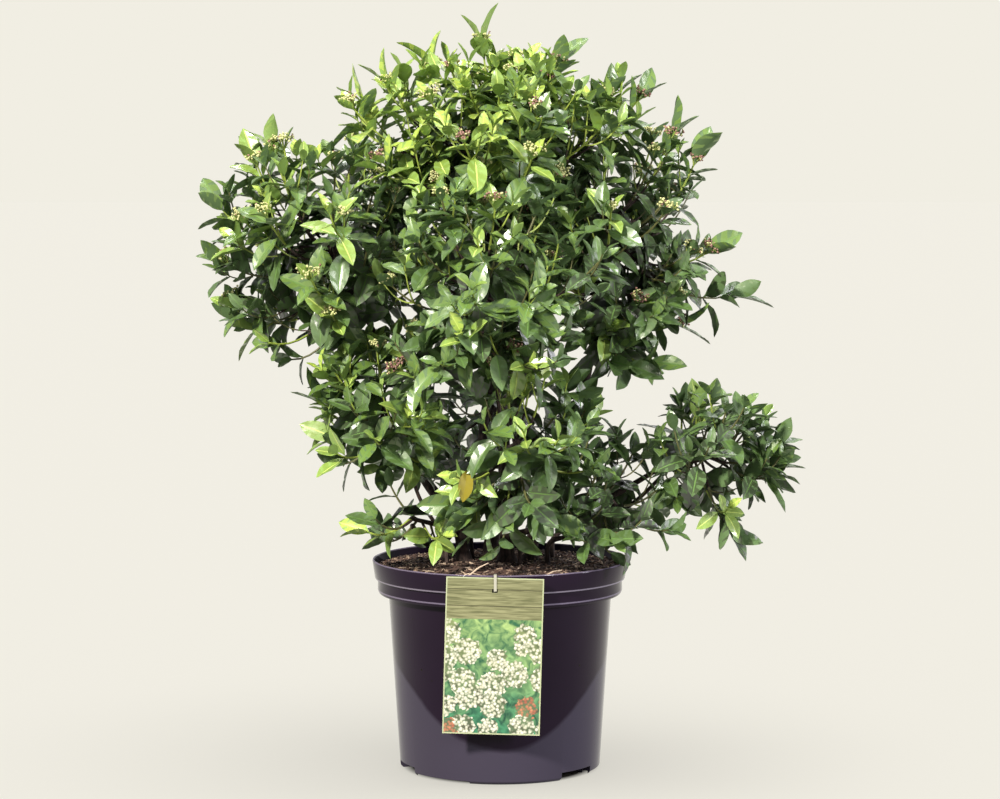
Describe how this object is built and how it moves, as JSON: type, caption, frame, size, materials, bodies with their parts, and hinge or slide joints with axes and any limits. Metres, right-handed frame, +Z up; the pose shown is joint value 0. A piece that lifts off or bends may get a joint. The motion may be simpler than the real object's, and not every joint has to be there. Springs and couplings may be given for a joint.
{
  "type": "potted eve price laurustinus",
  "caption": "Laurustinus, an evergreen shrub of several stems with a rounded leafy crown in bud, in a round nursery pot with a picture tag over its rim.",
  "frame": {"origin": "middle of the flat underside of the pot, on the ground", "axes": "+Z up; the front, where the tag hangs, faces -Y; +X to the right seen from the front"},
  "size_m": [0.6595, 0.5601, 0.8224],
  "materials": {
    "pot": "gloss",
    "soil": "matte",
    "card": "satin",
    "hook": "satin",
    "bark": "matte",
    "foliage": "satin"
  },
  "bodies": {
    "root": {"pot": "pot", "potting_soil": "soil", "tag_card": "card", "tag_hook": "hook", "main_stem": "bark", "left_stem": "bark", "right_stem": "bark", "back_stem": "bark", "bough_crown_top": "bark", "bough_upper_left": "bark", "bough_upper_right": "bark", "bough_front_middle": "bark", "bough_upper_back": "bark", "bough_lower_back": "bark", "bough_lower_left": "bark", "bough_lower_front": "bark", "bough_low_right": "bark", "bough_low_right_inner": "bark", "bough_foot_left": "bark", "foliage_crown_top": "foliage", "foliage_upper_left": "foliage", "foliage_upper_right": "foliage", "foliage_front_middle": "foliage", "foliage_upper_back": "foliage", "foliage_lower_back": "foliage", "foliage_lower_left": "foliage", "foliage_lower_front": "foliage", "foliage_low_right": "foliage", "foliage_low_right_inner": "foliage", "foliage_foot_left": "foliage"}
  },
  "joints": []
}
